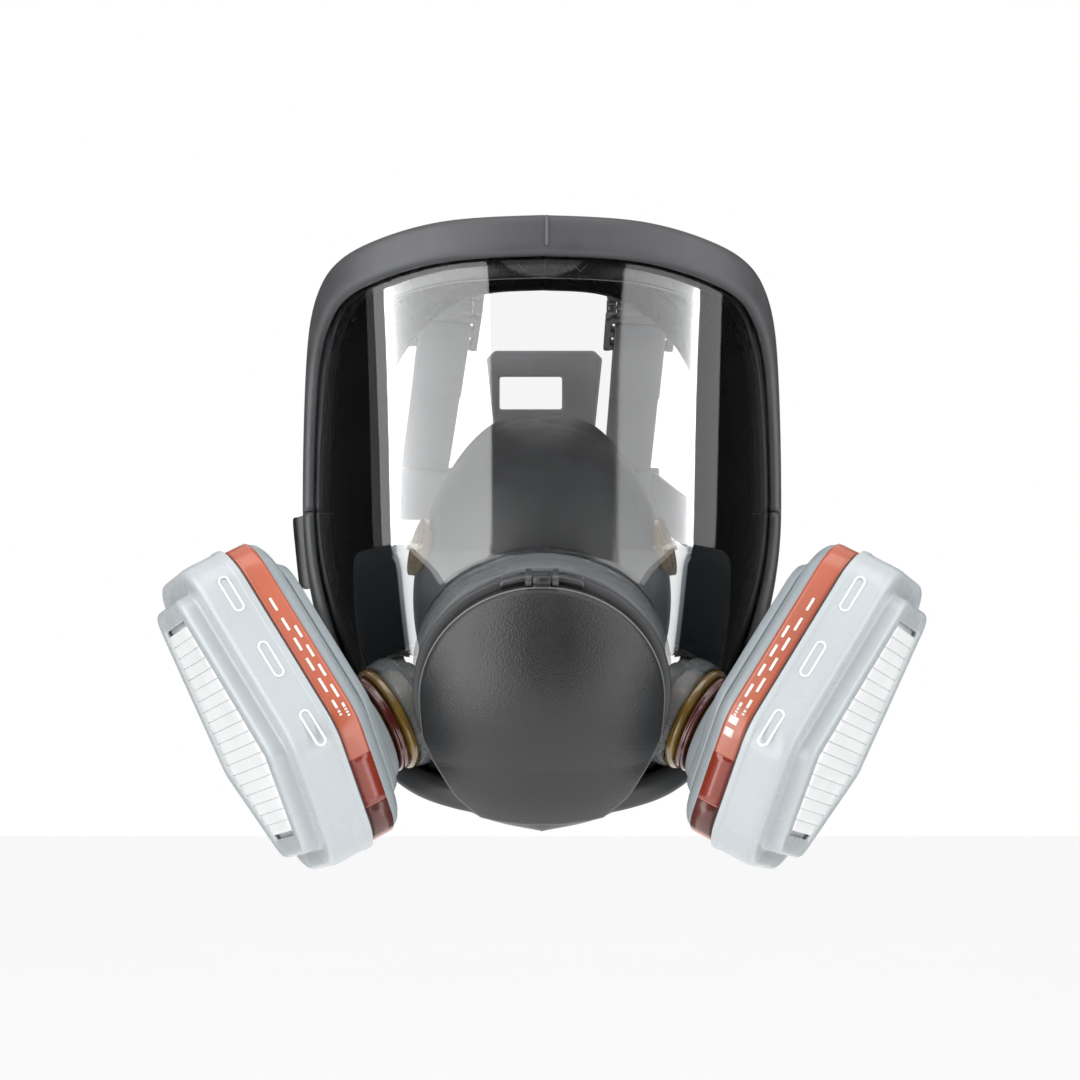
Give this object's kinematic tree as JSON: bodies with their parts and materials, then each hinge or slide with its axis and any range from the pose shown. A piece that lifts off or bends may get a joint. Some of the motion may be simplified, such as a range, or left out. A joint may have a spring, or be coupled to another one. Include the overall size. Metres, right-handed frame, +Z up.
{
  "type": "full face respirator",
  "caption": "Full face respirator with a wrap-round clear visor, clamped frame, rubber seal, nose cup, swing-up valve cover, bayonet cartridges and a strap harness.",
  "frame": {"origin": "middle of the face opening, in the plane of the temples of the face seal", "axes": "+X to the viewer's right when the visor faces the viewer, +Y from the visor towards the back of the wearer's head, +Z up"},
  "size_m": [0.2638, 0.2307, 0.2225],
  "materials": {
    "clear_visor": "gloss",
    "frame_grey": "satin",
    "frame_dark": "satin",
    "steel": "satin",
    "seal_rubber": "matte",
    "cup_rubber": "satin",
    "amber_plastic": "gloss",
    "valve_rubber": "matte",
    "adapter_black": "satin",
    "diaphragm_film": "gloss",
    "cover_black": "satin",
    "red_rubber": "satin",
    "cartridge_grey": "satin",
    "label_orange": "gloss",
    "carbon": "matte",
    "felt": "matte",
    "holder_milky": "satin",
    "buckle_black": "satin",
    "webbing": "matte",
    "crown_rubber": "matte"
  },
  "bodies": {
    "facepiece": {"visor": "clear_visor", "upper_frame": "frame_grey", "lower_frame": "frame_dark", "frame_screws": "steel", "frame_nuts": "steel", "face_seal": "seal_rubber", "nose_cup": "cup_rubber", "nose_valve_seat_left": "amber_plastic", "nose_valve_seat_right": "amber_plastic", "adapter_body": "adapter_black", "adapter_gasket": "seal_rubber", "adapter_clamp_ring": "adapter_black", "speech_diaphragm": "diaphragm_film", "diaphragm_ring": "adapter_black", "port_left": "amber_plastic", "port_right": "amber_plastic", "port_gasket_left": "red_rubber", "port_gasket_right": "red_rubber", "port_nut_left": "adapter_black", "port_nut_right": "adapter_black", "buckle_pin_upper_left": "steel", "buckle_pin_upper_right": "steel", "buckle_pin_lower_left": "steel", "buckle_pin_lower_right": "steel"},
    "cover": {"exhalation_cover": "cover_black"},
    "exhalation_valve": {"exhalation_flap": "valve_rubber"},
    "inhalation_valve_left": {"inhalation_flap_left": "valve_rubber"},
    "inhalation_valve_right": {"inhalation_flap_right": "valve_rubber"},
    "cup_valve_left": {"nose_valve_flap_left": "valve_rubber"},
    "cup_valve_right": {"nose_valve_flap_right": "valve_rubber"},
    "cartridge_left": {"cartridge_base_left": "cartridge_grey", "cartridge_shell_left": "cartridge_grey", "label_band_left": "label_orange", "carbon_bed_left": "carbon", "filter_pad_left": "felt"},
    "holder_left": {"filter_holder_left": "holder_milky"},
    "cartridge_right": {"cartridge_base_right": "cartridge_grey", "cartridge_shell_right": "cartridge_grey", "label_band_right": "label_orange", "carbon_bed_right": "carbon", "filter_pad_right": "felt"},
    "holder_right": {"filter_holder_right": "holder_milky"},
    "buckle_upper_left": {"buckle_upper_left": "buckle_black", "strap_tail_upper_left": "webbing"},
    "buckle_upper_right": {"buckle_upper_right": "buckle_black", "strap_tail_upper_right": "webbing"},
    "buckle_lower_left": {"buckle_lower_left": "buckle_black", "strap_tail_lower_left": "webbing"},
    "buckle_lower_right": {"buckle_lower_right": "buckle_black", "strap_tail_lower_right": "webbing"},
    "crown": {"crown_plate": "crown_rubber", "strap_upper_left": "webbing", "strap_upper_right": "webbing", "strap_lower_left": "webbing", "strap_lower_right": "webbing"}
  },
  "joints": [
    {"name": "cover_swing", "type": "hinge", "parent": "facepiece", "child": "cover", "pos_m": [0, -0.11668, -0.01309], "axis": [-1, 0, 0], "range_deg": [0, 60]},
    {"name": "exhalation_lift", "type": "slide", "parent": "facepiece", "child": "exhalation_valve", "axis": [0, -0.9135, -0.4067], "range_m": [0, 0.002], "stiffness_N_per_m": 20},
    {"name": "inhalation_lift_left", "type": "slide", "parent": "facepiece", "child": "inhalation_valve_left", "axis": [0.8328, 0.342, 0.4354], "range_m": [0, 0.0015], "stiffness_N_per_m": 20},
    {"name": "inhalation_lift_right", "type": "slide", "parent": "facepiece", "child": "inhalation_valve_right", "axis": [-0.8328, 0.342, 0.4354], "range_m": [0, 0.0015], "stiffness_N_per_m": 20},
    {"name": "cup_valve_lift_left", "type": "slide", "parent": "facepiece", "child": "cup_valve_left", "axis": [0.9375, 0.2442, -0.2477], "range_m": [0, 0.0015], "stiffness_N_per_m": 15},
    {"name": "cup_valve_lift_right", "type": "slide", "parent": "facepiece", "child": "cup_valve_right", "axis": [-0.9375, 0.2442, -0.2477], "range_m": [0, 0.0015], "stiffness_N_per_m": 15},
    {"name": "bayonet_turn_left", "type": "hinge", "parent": "facepiece", "child": "cartridge_left", "pos_m": [-0.062, -0.074, -0.066], "axis": [-0.8328, -0.342, -0.4354], "range_deg": [0, 90]},
    {"name": "holder_pull_left", "type": "slide", "parent": "cartridge_left", "child": "holder_left", "axis": [-0.8328, -0.342, -0.4354], "range_m": [0, 0.025]},
    {"name": "bayonet_turn_right", "type": "hinge", "parent": "facepiece", "child": "cartridge_right", "pos_m": [0.062, -0.074, -0.066], "axis": [0.8328, -0.342, -0.4354], "range_deg": [0, 90]},
    {"name": "holder_pull_right", "type": "slide", "parent": "cartridge_right", "child": "holder_right", "axis": [0.8328, -0.342, -0.4354], "range_m": [0, 0.025]},
    {"name": "buckle_swing_upper_left", "type": "hinge", "parent": "facepiece", "child": "buckle_upper_left", "pos_m": [-0.035, 0.014, 0.087], "axis": [0.9932, 0.0943, -0.0682], "range_deg": [-15, 15]},
    {"name": "buckle_swing_upper_right", "type": "hinge", "parent": "facepiece", "child": "buckle_upper_right", "pos_m": [0.037, 0.014, 0.086], "axis": [0.9996, 0.024, -0.0171], "range_deg": [-15, 15]},
    {"name": "buckle_swing_lower_left", "type": "hinge", "parent": "facepiece", "child": "buckle_lower_left", "pos_m": [-0.086, 0.012, -0.004], "axis": [-0.0789, -0.2236, 0.9715], "range_deg": [-15, 15]},
    {"name": "buckle_swing_lower_right", "type": "hinge", "parent": "facepiece", "child": "buckle_lower_right", "pos_m": [0.081, 0.013, -0.004], "axis": [0.0904, -0.2169, 0.972], "range_deg": [-15, 15]},
    {"name": "crown_draw", "type": "slide", "parent": "facepiece", "child": "crown", "axis": [0, 1, 0], "range_m": [0, 0.03], "deforming": ["strap_upper_left", "strap_upper_right", "strap_lower_left", "strap_lower_right"]}
  ]
}
